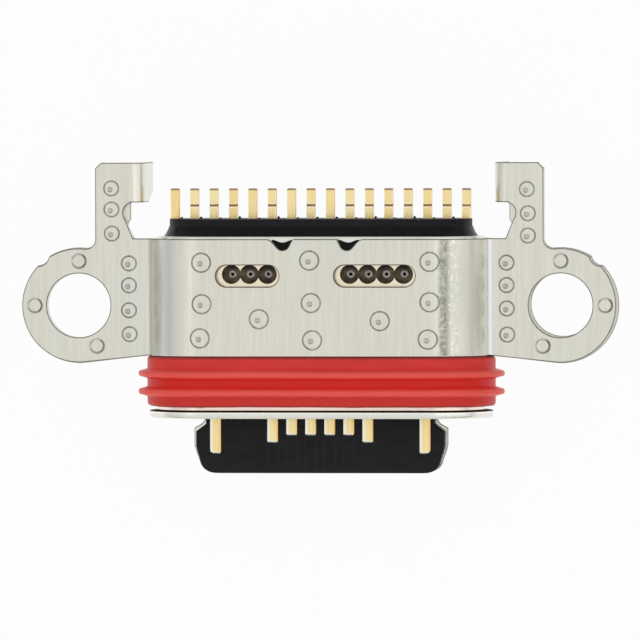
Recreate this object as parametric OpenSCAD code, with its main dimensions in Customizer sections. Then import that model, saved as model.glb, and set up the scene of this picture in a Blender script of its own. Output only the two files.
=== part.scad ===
// Sealed charging port for a handset: an oval plug mouth with a bare tongue, held by two stamped brackets.
// X runs across the port, Y from the tongue's tip to the solder tails, Z up through the screw ears.
// The origin is midway between the two screw holes, on the plane where the two bracket sheets meet.

/* [Plug mouth] */
// Inside width of the oval mouth
mouth_w = 8.34; // [8.2:0.02:8.5]
// Inside height of the oval mouth
mouth_h = 2.56; // [2.5:0.02:2.64]
// Wall of the drawn shell
shell_wall = 0.12; // [0.1:0.01:0.14]
// From the screw line to the collar's front face
shell_front = 2.93; // [2.88:0.01:3]
// How far the shell's rear rim stands out behind the brackets
shell_rim = 0.06; // [0.03:0.01:0.1]
// Thickness of the flared collar
collar_t = 0.18; // [0.14:0.01:0.22]
// How far the collar stands out past the shell
collar_reach = 0.22; // [0.18:0.01:0.26]
// Bevel on the collar's rim
collar_bevel = 0.05; // [0.02:0.01:0.06]
// Lead-in bevel inside the mouth
mouth_bevel = 0.07; // [0.04:0.01:0.1]

/* [Seal ring] */
// Thickness of the seal's body
seal_t = 0.28; // [0.25:0.005:0.3]
// Height of a sealing lip over the body
lip_h = 0.235; // [0.2:0.005:0.26]
// Width of a lip at its foot
lip_foot = 0.26; // [0.22:0.01:0.3]
// Width of a lip at its round tip
lip_tip = 0.12; // [0.08:0.01:0.16]
// From the seal's rear end to the middle of its first lip
lip_inset = 0.46; // [0.42:0.01:0.5]
// Distance between the two lips
lip_pitch = 0.47; // [0.44:0.01:0.5]
// Bevel on the seal's ends
seal_bevel = 0.07; // [0.04:0.01:0.1]
// Bare groove between the seal and the collar
seal_groove = 0.12; // [0.06:0.01:0.14]
// Gap between the brackets and the seal
seal_gap = 0.04; // [0.02:0.01:0.06]

/* [Brackets] */
// Thickness of each bracket sheet
sheet_t = 0.22; // [0.18:0.01:0.25]
// Height of the sheets' meeting plane over the tongue's middle
ear_rise = 0.3; // [0.2:0.02:0.36]
// From the screw line to the brackets' front edge
bracket_front = 1.28; // [1.24:0.01:1.32]
// From the screw line to the brackets' rear edge
bracket_rear = 1.75; // [1.72:0.01:1.84]
// Inside radius of the valley between hat and flange
valley_r = 0.15; // [0.1:0.01:0.2]
// Distance between the screw holes
hole_spacing = 12.64; // [12.5:0.02:12.8]
// Radius of a screw hole
hole_r = 0.835; // [0.8:0.005:0.88]
// Outside radius of a screw ear
ear_r = 1.49; // [1.45:0.01:1.55]
// How much larger the lower sheet's ears are
ear_step = 0.02; // [0:0.01:0.05]
// Depth of the nick that the carrier strip left in an ear
nick_depth = 0.08; // [0.05:0.01:0.1]
// Width of that nick
nick_w = 0.41; // [0.3:0.01:0.5]
// Place of that nick round the ear, from straight out
nick_angle = 51; // [45:1:57]
// Half width of the straight front edge of the body
front_half = 4.45; // [4.4:0.01:4.5]

/* [Locating pips] */
// Radius of a half-sheared locating pip
pip_r = 0.2; // [0.15:0.01:0.22]
// Height of a pip, and depth of the dent over it
pip_h = 0.06; // [0.04:0.01:0.08]
// From the screw hole's middle to a pip
pip_reach = 1.16; // [1.12:0.01:1.2]

/* [Tabs and legs] */
// From the middle to a tab's outer edge
tab_out = 5.88; // [5.8:0.01:5.92]
// From the screw line to a tab's rear edge
tab_rear = 3.73; // [3.6:0.01:3.85]
// Chamfer on a tab's outer corner
tab_corner = 0.15; // [0.1:0.01:0.2]
// Fillet between an ear and its tab
tab_fillet = 0.25; // [0.2:0.01:0.3]
// From the middle to the inner edge of a tab's foot
stem_in = 4.885; // [4.8:0.005:4.92]
// From the middle to the start of a leg's bend
leg_bend_x = 4.95; // [4.9:0.01:5]
// Outside radius of a leg's bend
leg_bend_r = 0.36; // [0.32:0.01:0.44]
// From the screw line to a leg's front edge
leg_front = 2.69; // [2.65:0.01:2.75]
// Width that a leg loses towards its tip
leg_taper_w = 0.28; // [0.15:0.01:0.35]
// Length of that taper
leg_taper_l = 0.9; // [0.6:0.05:1.1]
// From the meeting plane of the sheets down to a leg's tip
leg_length = 1.76; // [1.4:0.02:1.9]
// Radius of the bend relief cut in front of a leg
relief_r = 0.265; // [0.2:0.005:0.28]
// How far the relief's middle lies inside the start of the bend
relief_in = 0.065; // [0.01:0.005:0.08]
// From the screw line to the corner of the lower sheet's tab
lower_tab_front = 2.25; // [2.2:0.01:2.3]
// Bevel on that corner
lower_tab_bevel = 0.13; // [0.05:0.01:0.15]

/* [Windows over the core pins] */
// Distance between core pin holes
pin_pitch = 0.47; // [0.44:0.01:0.48]
// Radius of a core pin hole where it meets the shell
pin_r = 0.25; // [0.235:0.005:0.26]
// Depth of a core pin hole's wide part under the moulding's skin
pin_depth = 0.2; // [0.15:0.01:0.3]
// Radius of the small hole in a core pin hole's floor
pin_floor_r = 0.09; // [0.06:0.01:0.14]
// From the middle to the first core pin hole of the left window
left_pins = 2.2; // [2.1:0.01:2.25]
// From the middle to the first core pin hole of the right window
right_pins = 0.89; // [0.85:0.01:0.96]
// From the screw line to the core pin holes
pin_y = 0.83; // [0.8:0.01:0.88]
// Height of a window in the upper bracket
window_h = 0.6; // [0.58:0.01:0.64]
// From the screw line to the middle of the windows
window_y = 0.81; // [0.79:0.01:0.83]
// Room in a window past its leftmost pin
window_left = 0.39; // [0.36:0.01:0.42]
// Room in a window past its rightmost pin
window_right = 0.32; // [0.3:0.01:0.35]
// From the middle to a notch in the upper bracket's rear edge
notch_x = 0.84; // [0.8:0.01:0.9]
// Depth of that notch
notch_depth = 0.29; // [0.24:0.01:0.32]
// Radius of the notch's floor
notch_r = 0.18; // [0.14:0.01:0.2]
// Reach of the notch's flared side
notch_flare = 0.4; // [0.35:0.01:0.45]

/* [Tongue] */
// Width over the edges of the steel mid plate
tongue_w = 6.67; // [6.6:0.01:6.8]
// Thickness of the tongue
tongue_t = 0.7; // [0.68:0.01:0.74]
// From the screw line to the tongue's tip
tongue_tip = 4.39; // [4.3:0.01:4.45]
// Length of the tongue from its base wall to its tip
tongue_length = 4.45; // [4.4:0.01:4.5]
// Rounding of the tongue's corners
tip_r = 0.38; // [0.3:0.01:0.4]
// Length of the bevel on the tongue's front edge
tip_bevel = 0.16; // [0.1:0.01:0.2]
// Length of the narrowing towards the tip
tip_taper = 0.7; // [0.65:0.01:0.75]
// How far that narrowing goes in on each side
tip_narrow = 0.19; // [0.15:0.01:0.24]
// How far the mid plate stands out along that narrowing
tip_reveal = 0.05; // [0.02:0.005:0.06]
// Thickness of the steel mid plate
mid_t = 0.15; // [0.12:0.01:0.18]
// How far the mid plate stands out past the plastic
mid_reveal = 0.075; // [0.06:0.005:0.1]
// Depth of the latch notch in the tongue's side
latch_depth = 0.34; // [0.3:0.01:0.36]
// From the tongue's tip to the latch notch
latch_start = 1.17; // [1.1:0.01:1.2]
// Length of the latch notch
latch_length = 1.55; // [1.4:0.05:1.7]
// Length of the slope at each end of the latch notch
latch_slope = 0.25; // [0.2:0.01:0.28]
// Thickness of the thick root under one ground plate and over the other
root_t = 1.04; // [1:0.02:1.1]
// Length of that root
root_length = 1.07; // [1:0.01:1.15]
// Thickness of a ground plate
ground_t = 0.1; // [0.08:0.01:0.12]
// Width of a ground plate
ground_w = 5.4; // [5.2:0.1:5.6]

/* [Contacts] */
// Distance between neighbouring contact places on the tongue
contact_pitch = 0.5; // [0.48:0.01:0.51]
// Thickness of the contact strip
contact_t = 0.13; // [0.1:0.01:0.14]
// Width of a contact on the tongue
pad_w = 0.3; // [0.26:0.01:0.31]
// From the tongue's tip to a ground contact
ground_setback = 0.505; // [0.46:0.005:0.54]
// From the tongue's tip to a power contact
power_setback = 0.795; // [0.75:0.005:0.84]
// From the tongue's tip to a signal contact
signal_setback = 0.985; // [0.94:0.005:1.02]
// Bevel at the front end of a contact
pad_bevel = 0.04; // [0.03:0.005:0.06]
// Plastic between the outermost solder tails and the shell
tail_wall = 0.2275; // [0.2:0.0025:0.26]
// Width of a solder tail
tail_w = 0.235; // [0.2:0.005:0.25]
// From the screw line to the solder tails' ends
tail_end = 3.05; // [2.95:0.01:3.15]
// From the screw line to the score mark across a tail
score_y = 2.6; // [2.52:0.01:2.66]
// Depth of that score mark
score_depth = 0.025; // [0.01:0.005:0.03]
// From the tongue's base wall to the start of a contact's jog towards its tail
jog_lead = 0.3; // [0.25:0.01:0.35]
// Level run behind the carriers, before a contact drops to its tail
drop_lead = 0.08; // [0.05:0.01:0.1]
// Length of that drop
drop_length = 0.42; // [0.36:0.01:0.42]

/* [Plastic and potting] */
// From the screw line to the moulding's rear face
rear_face = 2.26; // [2.22:0.01:2.32]
// Radius of the rear block's round ends
rear_r = 1.08; // [1.08:0.01:1.12]
// From the screw line to the potting's floor
potting_floor = 1.45; // [1.4:0.01:1.5]
// How far the potting's edge lies in from the shell's rear rim
potting_low = 0.05; // [0.02:0.01:0.08]
// How far the potting climbs the rear block
potting_climb = 0.46; // [0.3:0.01:0.5]
// Thickness where the climbing potting breaks off
potting_edge = 0.02; // [0.015:0.005:0.04]
// Half width of a contact carrier
carrier_half = 2.58; // [2.5:0.01:2.6]
// From the tongue's tip to a contact carrier's front end
carrier_setback = 1.2; // [1.1:0.05:1.3]
// From the screw line to the contact carriers' rear end
carrier_rear = 1.2; // [1.15:0.01:1.25]

/* [Hidden] */
$fn = 64;
UPPER = [for (i = [1:8]) str("upper_contact_", i)];
LOWER = [for (i = [1:8]) str("lower_contact_", i)];

STEEL = [0.80, 0.79, 0.75];
BRIGHT_STEEL = [0.86, 0.86, 0.84];
RED_RUBBER = [0.80, 0.20, 0.18];
BLACK_PLASTIC = [0.10, 0.10, 0.11];
GOLD = [0.90, 0.74, 0.42];

// Fit between pieces that are pushed or laid together
seat_gap = 0.01;
// Overlap that lets a fillet end in a clean edge
blend = 0.005;
// Reach of cutting shapes past what they cut
past = 1;

end_x = (mouth_w - mouth_h) / 2;
shell_r_in = mouth_h / 2;
shell_r = shell_r_in + shell_wall;
shell_rear = bracket_rear + shell_rim;
hat_r_in = shell_r + seat_gap;
hat_r = hat_r_in + sheet_t;
collar_r = shell_r + collar_reach;
collar_back = -shell_front + collar_t;
seal_r = shell_r + seal_t;
lip_r = seal_r + lip_h;
seal_front = collar_back + seal_groove;
seal_rear = -bracket_front - seal_gap;
leg_tip_z = ear_rise - leg_length;
hole_x = hole_spacing / 2;
PIP_ANGLES = [90, 0, -114];
// First core pin hole and how many follow in each window
PIN_ROWS = [[-left_pins, 3], [right_pins, 4]];

tongue_half = tongue_w / 2;
plastic_half = tongue_half - mid_reveal;
tip_y = -tongue_tip;
base_y = tip_y + tongue_length;
latch_front_y = tip_y + latch_start;
latch_rear_y = latch_front_y + latch_length;
mid_rear = pin_y - pin_r;
plug_r = shell_r_in - seat_gap;
ground_top = root_t / 2 + ground_t;

// Contact places to the right of the middle, and how far each contact stands back from the tip
PLACES = contact_pitch * [0.5, 1.5, 2.5, 5.5];
SETBACKS = [signal_setback, signal_setback, power_setback, ground_setback];
// Tails, counted from the left, that carry no score mark
PLAIN_TAILS = [0, 4, 6, 8];
TAIL_STEPS = len(UPPER) + len(LOWER) - 1;
tail_pitch = (mouth_w - tail_w - 2 * tail_wall) / TAIL_STEPS;
jog_front = base_y - jog_lead;
jog_rear = pin_y - pin_r;
drop_front = carrier_rear + drop_lead;
drop_rear = drop_front + drop_length;

// Point where a line from p touches a circle, on the side that turn picks
function touch_point(p, c, r, turn) =
    let (d = norm(p - c), a = atan2(p[1] - c[1], p[0] - c[0]) + turn * acos(r / d))
    c + r * [cos(a), sin(a)];

// Middle of the valley radius between a hat and its flange
function valley_centre(level) =
    let (z = level + sheet_t + valley_r)
    [end_x + sqrt(pow(hat_r + valley_r, 2) - z * z), z];

// An outline's right half carried over to the left, and a whole outline that is drawn as its right half
function on_side(side, points) = [for (p = points) [side * p[0], p[1]]];
function whole(half) = concat(half, [for (i = [len(half) - 1:-1:0]) [-half[i][0], half[i][1]]]);

// Everything is drawn about the tongue's middle and set down on the meeting plane of the sheets
module seated() {
    translate([0, 0, -ear_rise])
        children();
}

module both_sides() {
    children();
    mirror([1, 0, 0])
        children();
}

module along_y(front, rear) {
    translate([0, rear, 0])
        rotate([90, 0, 0])
            linear_extrude(rear - front)
                children();
}

module along_x(half) {
    rotate([90, 0, 90])
        linear_extrude(2 * half, center = true)
            children();
}

module oval(r) {
    square([2 * end_x, 2 * r], center = true);
    for (side = [-1, 1])
        translate([side * end_x, 0])
            circle(r);
}

// Carries a radius and Y profile once round the oval
module oval_ring() {
    both_sides()
        translate([end_x, 0, 0])
            rotate([-90, -90, 0])
                rotate_extrude(angle = 180)
                    children();
    for (side = [0, 1])
        mirror([0, 0, side])
            rotate([0, -90, 0])
                linear_extrude(2 * end_x, center = true)
                    children();
}

// Length of sheet that a bracket is cut from
module sheet_length() {
    along_y(-past - bracket_front, tab_rear + past)
        children();
}

// Bent sheet of a bracket: flat top, sides that hug the shell, valleys and flanges
module hat_sheet(level) {
    foot = valley_centre(level);
    flange_end = hole_x + ear_r + past;
    mid_flange = level + sheet_t / 2;
    mid_r = hat_r - sheet_t / 2;
    root = [end_x, 0] + mid_r / (hat_r + valley_r) * (foot - [end_x, 0]);
    flank = [end_x + sqrt(mid_r * mid_r - mid_flange * mid_flange), mid_flange];
    difference() {
        union() {
            difference() {
                sheet_length()
                    oval(hat_r);
                sheet_length()
                    translate([-flange_end, level - 2 * hat_r])
                        square([2 * flange_end, 2 * hat_r]);
            }
            sheet_length()
                translate([-flange_end, level])
                    square([2 * flange_end, sheet_t]);
            for (side = [-1, 1])
                difference() {
                    sheet_length()
                        polygon(on_side(side, [root, foot, [foot[0], mid_flange], flank]));
                    sheet_length()
                        translate([side * foot[0], foot[1]])
                            circle(valley_r + blend);
                }
        }
        sheet_length()
            oval(hat_r_in);
        for (side = [-1, 1])
            difference() {
                sheet_length()
                    polygon(on_side(side, [
                        [end_x, 0], foot, [foot[0], level - past], [end_x, level - past]]));
                sheet_length()
                    translate([side * foot[0], foot[1]])
                        circle(valley_r + blend + sheet_t);
            }
    }
}

module through() {
    translate([0, 0, -2 * hat_r])
        linear_extrude(4 * hat_r)
            children();
}

// Flat blank of a bracket, with the tabs' inner edge as given
module blank(radius, inner_edge) {
    ear = [hole_x, 0];
    corner = [front_half, -bracket_front];
    fillet_x = tab_out + tab_fillet;
    fillet_y = sqrt(pow(radius + tab_fillet, 2) - pow(hole_x - fillet_x, 2));
    nick_r = (pow(nick_w / 2, 2) + pow(nick_depth, 2)) / (2 * nick_depth);
    nick = ear + (radius - nick_depth + nick_r) * [cos(nick_angle), sin(nick_angle)];
    difference() {
        union() {
            through()
                polygon(whole(concat(
                    [corner, touch_point(corner, ear, radius - blend, 1), ear, [tab_out, 0],
                     [tab_out, tab_rear - tab_corner], [tab_out - tab_corner, tab_rear]],
                    inner_edge,
                    [[stem_in, bracket_rear]])));
            for (side = [-1, 1]) {
                through()
                    translate([side * hole_x, 0])
                        circle(radius);
                difference() {
                    through()
                        polygon(on_side(side, [
                            [stem_in, fillet_y], [fillet_x, fillet_y], ear, [stem_in, 0]]));
                    through()
                        translate([side * fillet_x, fillet_y])
                            circle(tab_fillet + blend);
                }
            }
        }
        for (side = [-1, 1]) {
            through()
                translate([side * hole_x, 0])
                    circle(hole_r);
            through()
                translate([side * nick[0], nick[1]])
                    circle(nick_r);
        }
    }
}

module at_pips() {
    both_sides()
        translate([hole_x, 0, 0])
            for (a = PIP_ANGLES)
                translate(pip_reach * [cos(a), sin(a), 0])
                    children();
}

// Tab leg: the sheet bends down and runs to a tapered tip
module leg() {
    bend_z = ear_rise + sheet_t - leg_bend_r;
    difference() {
        union() {
            intersection() {
                along_y(leg_front, tab_rear)
                    translate([leg_bend_x, bend_z])
                        difference() {
                            circle(leg_bend_r);
                            circle(leg_bend_r - sheet_t);
                        }
                translate([leg_bend_x - leg_bend_r, leg_front, bend_z])
                    cube([leg_bend_r, tab_rear - leg_front, leg_bend_r]);
            }
            translate([leg_bend_x - leg_bend_r, leg_front, leg_tip_z])
                cube([sheet_t, tab_rear - leg_front, bend_z - leg_tip_z]);
        }
        along_x(hole_x)
            polygon([
                [leg_front - past, leg_tip_z + leg_taper_l],
                [leg_front, leg_tip_z + leg_taper_l],
                [leg_front + leg_taper_w, leg_tip_z],
                [leg_front + leg_taper_w, leg_tip_z - past],
                [leg_front - past, leg_tip_z - past]]);
    }
}

// A slot with round ends over one row of core pin holes
module window(first, count) {
    length = (count - 1) * pin_pitch + window_left + window_right - window_h;
    middle = first + ((count - 1) * pin_pitch + window_right - window_left) / 2;
    through()
        translate([middle, window_y])
            square([length, window_h], center = true);
    for (side = [-1, 1])
        through()
            translate([middle + side * length / 2, window_y])
                circle(window_h / 2);
}

module rear_notch(side) {
    floor_y = bracket_rear - notch_depth + notch_r;
    through()
        translate([side * notch_x, floor_y])
            circle(notch_r);
    through()
        polygon(on_side(side, [
            [notch_x - notch_r + blend, bracket_rear + past],
            [notch_x - notch_r + blend, floor_y],
            [notch_x + notch_r * 0.6, floor_y - notch_r * 0.6],
            [notch_x + notch_flare, bracket_rear],
            [notch_x + notch_flare, bracket_rear + past]]));
}

module upper_bracket() {
    relief = [leg_bend_x - relief_in, leg_front - relief_r - seat_gap];
    inner_edge = [
        [leg_bend_x, tab_rear], [leg_bend_x, leg_front], relief,
        relief + [0.92 * relief_r, -0.25 * relief_r]];
    color(STEEL)
        seated()
            difference() {
                union() {
                    intersection() {
                        hat_sheet(ear_rise);
                        difference() {
                            blank(ear_r, inner_edge);
                            for (side = [-1, 1]) {
                                through()
                                    translate([side * relief[0], relief[1]])
                                        circle(relief_r);
                                rear_notch(side);
                            }
                            for (row = PIN_ROWS)
                                window(row[0], row[1]);
                        }
                    }
                    both_sides()
                        leg();
                    at_pips()
                        translate([0, 0, ear_rise - pip_h])
                            cylinder(r = pip_r, h = pip_h + sheet_t / 2);
                }
                at_pips()
                    translate([0, 0, ear_rise + sheet_t - pip_h])
                        cylinder(r = pip_r, h = past);
            }
}

module lower_bracket() {
    tab_in = leg_bend_x + 2 * seat_gap;
    color(STEEL)
        seated()
            difference() {
                intersection() {
                    mirror([0, 0, 1])
                        hat_sheet(-ear_rise);
                    blank(ear_r + ear_step, [
                        [tab_in, tab_rear], [tab_in, lower_tab_front],
                        [tab_in + 0.6 * lower_tab_bevel, lower_tab_front - lower_tab_bevel]]);
                }
                at_pips()
                    translate([0, 0, ear_rise - pip_h - seat_gap])
                        cylinder(r = pip_r + seat_gap, h = past);
            }
}

// Places of the core pin holes
module core_pins() {
    for (row = PIN_ROWS)
        for (i = [0:row[1] - 1])
            translate([row[0] + i * pin_pitch, pin_y, 0])
                children();
}

// Bleed hole for the potting: under the bracket's notch, and straight along the shell's rear rim
module bleed_hole(side) {
    intersection() {
        rear_notch(side);
        translate([side * notch_x - past / 2, bracket_rear - past, shell_r_in / 2])
            cube([past, past, past]);
    }
}

// Drawn shell with its flared collar, open over the core pins and at two bleed holes for the potting
module shell() {
    color(BRIGHT_STEEL)
        seated()
            difference() {
                oval_ring()
                    polygon([
                        [shell_r_in, shell_rear],
                        [shell_r, shell_rear],
                        [shell_r, collar_back],
                        [collar_r - collar_bevel, collar_back],
                        [collar_r, collar_back - collar_bevel],
                        [collar_r, -shell_front + collar_bevel],
                        [collar_r - collar_bevel, -shell_front],
                        [shell_r_in + mouth_bevel, -shell_front],
                        [shell_r_in, -shell_front + mouth_bevel]]);
                core_pins()
                    translate([0, 0, shell_r_in / 2])
                        cylinder(r = pin_r, h = past);
                for (side = [-1, 1])
                    bleed_hole(side);
            }
}

module seal_ring() {
    color(RED_RUBBER)
        seated()
            oval_ring() {
                polygon([
                    [shell_r, seal_front],
                    [seal_r - seal_bevel, seal_front],
                    [seal_r, seal_front + seal_bevel],
                    [seal_r, seal_rear - seal_bevel],
                    [seal_r - seal_bevel, seal_rear],
                    [shell_r, seal_rear]]);
                for (i = [0, 1])
                    translate([0, seal_rear - lip_inset - i * lip_pitch]) {
                        polygon([
                            [seal_r - seal_t / 2, lip_foot / 2],
                            [lip_r - lip_tip / 2, lip_tip / 2 - blend],
                            [lip_r - lip_tip / 2, blend - lip_tip / 2],
                            [seal_r - seal_t / 2, -lip_foot / 2]]);
                        translate([lip_r - lip_tip / 2, 0])
                            circle(lip_tip / 2);
                    }
            }
}

// Plan of the mid plate: wide at the sides, with the two latch notches
module mid_plan() {
    tip_in = tip_y + tip_bevel;
    polygon(whole([
        [tongue_half - 2 * tip_r, tip_in],
        [plastic_half - 0.6 * tip_narrow + tip_reveal, tip_y + 0.4 * tip_taper],
        [tongue_half, tip_y + tip_taper],
        [tongue_half, latch_front_y],
        [tongue_half - latch_depth, latch_front_y + latch_slope],
        [tongue_half - latch_depth, latch_rear_y - latch_slope],
        [tongue_half, latch_rear_y],
        [tongue_half, base_y - mid_reveal],
        [carrier_half, base_y],
        [carrier_half, mid_rear]]));
}

// Plan of the tongue's plastic, which leaves the mid plate's edges bare
module tongue_plan() {
    corner = [plastic_half - tip_narrow - tip_r, tip_y + tip_r];
    shoulder = [plastic_half, tip_y + tip_taper];
    for (side = [-1, 1])
        translate([side * corner[0], corner[1]])
            circle(tip_r);
    polygon(whole([
        [corner[0], tip_y],
        corner,
        touch_point(shoulder, corner, tip_r - blend, -1),
        shoulder,
        [plastic_half, latch_front_y - mid_reveal],
        [plastic_half - latch_depth, latch_front_y - mid_reveal + latch_slope],
        [plastic_half - latch_depth, latch_rear_y + mid_reveal - latch_slope],
        [plastic_half, latch_rear_y + mid_reveal],
        [plastic_half, base_y + past / 2]]));
}

module mid_plate() {
    color(BRIGHT_STEEL)
        seated()
            translate([0, 0, -mid_t / 2])
                linear_extrude(mid_t)
                    mid_plan();
}

// Side view of the tongue with its bevelled front edge
module tongue_side() {
    half = tongue_t / 2;
    polygon([
        [tip_y, -half + tip_bevel / 2], [tip_y + tip_bevel, -half], [base_y + past / 2, -half],
        [base_y + past / 2, half], [tip_y + tip_bevel, half], [tip_y, half - tip_bevel / 2]]);
}

module carrier_block() {
    front = tip_y + carrier_setback;
    translate([-carrier_half, front, mid_t / 2])
        cube([2 * carrier_half, carrier_rear - front, (tongue_t - mid_t) / 2]);
}

// Core pin holes: a wide shallow part under the shell, and a small hole down to the contacts
module pin_holes() {
    core_pins() {
        translate([0, 0, plug_r - pin_depth])
            cylinder(r = pin_r, h = past);
        translate([0, 0, tongue_t / 2])
            cylinder(r = pin_floor_r, h = plug_r);
    }
}

// Strip seen from above: straight on the tongue, then a jog across to its tail
module contact_plan(pad_x, tail_x, setback) {
    front = tip_y + setback;
    polygon([
        [pad_x - pad_w / 2 + pad_bevel / 2, front],
        [pad_x + pad_w / 2 - pad_bevel / 2, front],
        [pad_x + pad_w / 2, front + pad_bevel],
        [pad_x + pad_w / 2, jog_front],
        [tail_x + tail_w / 2, jog_rear],
        [tail_x + tail_w / 2, tail_end],
        [tail_x - tail_w / 2, tail_end],
        [tail_x - tail_w / 2, jog_rear],
        [pad_x - pad_w / 2, jog_front],
        [pad_x - pad_w / 2, front + pad_bevel]]);
}

// Strip seen from the side: flush with the tongue, then a drop to the common level of the tails
module contact_side(setback, scored, row) {
    front = tip_y + setback;
    top = tongue_t / 2;
    half = contact_t / 2;
    difference() {
        polygon([
            [front, top - pad_bevel], [front + pad_bevel, top], [drop_front, top], [drop_rear, half],
            [tail_end, half], [tail_end, -half], [drop_rear, -half], [drop_front, top - contact_t],
            [front, top - contact_t]]);
        if (scored)
            translate([score_y, row == 0 ? half : -half])
                rotate(45)
                    square(sqrt(2) * score_depth, center = true);
    }
}

// Row 0 is the upper row and row 1 the lower; contacts count from the left
module contact(row, i) {
    left = i < 4;
    k = left ? 3 - i : i - 4;
    side = left ? -1 : 1;
    pad_x = side * PLACES[k];
    tail_x = side * (0.5 + row + 2 * k) * tail_pitch;
    tail_number = round(tail_x / tail_pitch + TAIL_STEPS / 2);
    scored = len(search(tail_number, PLAIN_TAILS)) == 0;
    mirror([0, 0, row])
        intersection() {
            translate([0, 0, -past])
                linear_extrude(2 * past)
                    contact_plan(pad_x, tail_x, SETBACKS[k]);
            along_x(hole_x)
                contact_side(SETBACKS[k], scored, row);
        }
}

module all_contacts() {
    for (row = [0, 1])
        for (i = [0:7])
            contact(row, i);
}

// Square pockets in front of the contacts' bevelled ends
module pockets() {
    for (row = [0, 1])
        mirror([0, 0, row])
            for (side = [-1, 1])
                for (k = [0:3])
                    translate([side * PLACES[k] - pad_w / 2, tip_y + SETBACKS[k], tongue_t / 2 - contact_t])
                        cube([pad_w, pad_bevel, contact_t + blend]);
}

module tongue_moulding() {
    color(BLACK_PLASTIC)
        seated()
            difference() {
                union() {
                    intersection() {
                        translate([0, 0, -past])
                            linear_extrude(2 * past)
                                tongue_plan();
                        along_x(hole_x)
                            tongue_side();
                    }
                    translate([-plastic_half, base_y - root_length, -root_t / 2])
                        cube([2 * plastic_half, root_length + past / 2, root_t]);
                    along_y(base_y, potting_floor)
                        oval(plug_r);
                    along_y(potting_floor, rear_face)
                        oval(rear_r);
                }
                translate([0, 0, -mid_t / 2])
                    linear_extrude(mid_t)
                        mid_plan();
                for (row = [0, 1])
                    mirror([0, 0, row])
                        carrier_block();
                all_contacts();
                pockets();
                pin_holes();
            }
}

module contact_carrier(row) {
    color(BLACK_PLASTIC)
        seated()
            difference() {
                mirror([0, 0, row])
                    carrier_block();
                all_contacts();
            }
}

module upper_contact_carrier() {
    contact_carrier(0);
}

module lower_contact_carrier() {
    contact_carrier(1);
}

// Ground plate: lies on the tongue's root and turns up against the base wall to the shell
module ground_plate(row) {
    color(BRIGHT_STEEL)
        seated()
            mirror([0, 0, row])
                along_x(ground_w / 2)
                    polygon([
                        [base_y - root_length, root_t / 2],
                        [base_y, root_t / 2],
                        [base_y, plug_r],
                        [base_y - ground_t, plug_r],
                        [base_y - ground_t, ground_top],
                        [base_y - root_length + ground_t / 2, ground_top],
                        [base_y - root_length, ground_top - ground_t / 2]]);
}

module upper_ground_plate() {
    ground_plate(0);
}

module lower_ground_plate() {
    ground_plate(1);
}

// Potting that seals the shell's rear end and creeps up the rear block
module rear_potting() {
    depth = shell_r_in - rear_r;
    sweep_r = (pow(depth, 2) + pow(potting_climb, 2)) / (2 * depth);
    sweep_y = shell_rear - potting_low + potting_climb;
    top = sweep_y - sqrt(2 * sweep_r * potting_edge - pow(potting_edge, 2));
    color(BLACK_PLASTIC)
        seated()
            oval_ring()
                difference() {
                    translate([rear_r, potting_floor])
                        square([depth, top - potting_floor]);
                    translate([rear_r + sweep_r, sweep_y])
                        circle(sweep_r, $fn = 160);
                }
}

upper_bracket();
lower_bracket();
shell();
seal_ring();
tongue_moulding();
upper_contact_carrier();
lower_contact_carrier();
mid_plate();
upper_ground_plate();
lower_ground_plate();
rear_potting();
for (i = [0:7]) {
    color(GOLD) seated() contact(0, i);
    color(GOLD) seated() contact(1, i);
}
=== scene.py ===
# %% [markdown]
# A sealed charging port, about as wide as a fingertip. Two stamped steel brackets hold a drawn oval shell,
# a red silicone seal stretches over the shell, and a black tongue with gold contacts stands out of its mouth.
# The solids come from the part's own source. This lesson dresses them, and makes finer meshes where a
# curve or a stamped edge needs more points than the solids carry.

# %% Load the solids
from contextlib import contextmanager
from math import acos, asin, atan2, cos, hypot, pi, radians, sin, sqrt, tan

import bmesh
import bpy
from mathutils import Matrix, Vector


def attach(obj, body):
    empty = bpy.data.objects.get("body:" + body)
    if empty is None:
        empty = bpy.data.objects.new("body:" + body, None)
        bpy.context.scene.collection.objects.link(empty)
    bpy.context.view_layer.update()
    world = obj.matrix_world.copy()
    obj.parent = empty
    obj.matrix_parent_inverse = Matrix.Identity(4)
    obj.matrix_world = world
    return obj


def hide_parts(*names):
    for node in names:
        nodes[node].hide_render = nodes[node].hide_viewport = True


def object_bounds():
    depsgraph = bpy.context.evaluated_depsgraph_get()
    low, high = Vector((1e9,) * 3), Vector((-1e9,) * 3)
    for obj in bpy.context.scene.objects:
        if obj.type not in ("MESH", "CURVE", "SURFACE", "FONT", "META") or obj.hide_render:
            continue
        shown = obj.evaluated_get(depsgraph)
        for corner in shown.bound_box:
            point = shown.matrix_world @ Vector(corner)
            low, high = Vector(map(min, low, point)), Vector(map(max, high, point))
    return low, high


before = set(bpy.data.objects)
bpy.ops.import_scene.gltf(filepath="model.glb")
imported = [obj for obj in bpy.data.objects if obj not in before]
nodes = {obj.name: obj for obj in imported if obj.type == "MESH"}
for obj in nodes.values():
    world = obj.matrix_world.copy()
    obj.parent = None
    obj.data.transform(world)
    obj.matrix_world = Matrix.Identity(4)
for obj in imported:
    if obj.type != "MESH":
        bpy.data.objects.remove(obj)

cad_low, cad_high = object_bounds()
scene = bpy.context.scene
print("solids:", len(nodes), "size in mm:", [round(1000 * d, 2) for d in cad_high - cad_low])

# %% [markdown]
# The part is only some fifteen millimetres wide, and its frame is in metres. Numbers such as 0.00022 are
# hard to read, so every shape below is made in millimetres and scaled once, when it is finished.

# %% Millimetres and the sizes that the solids are built on
MM = 0.001

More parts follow.
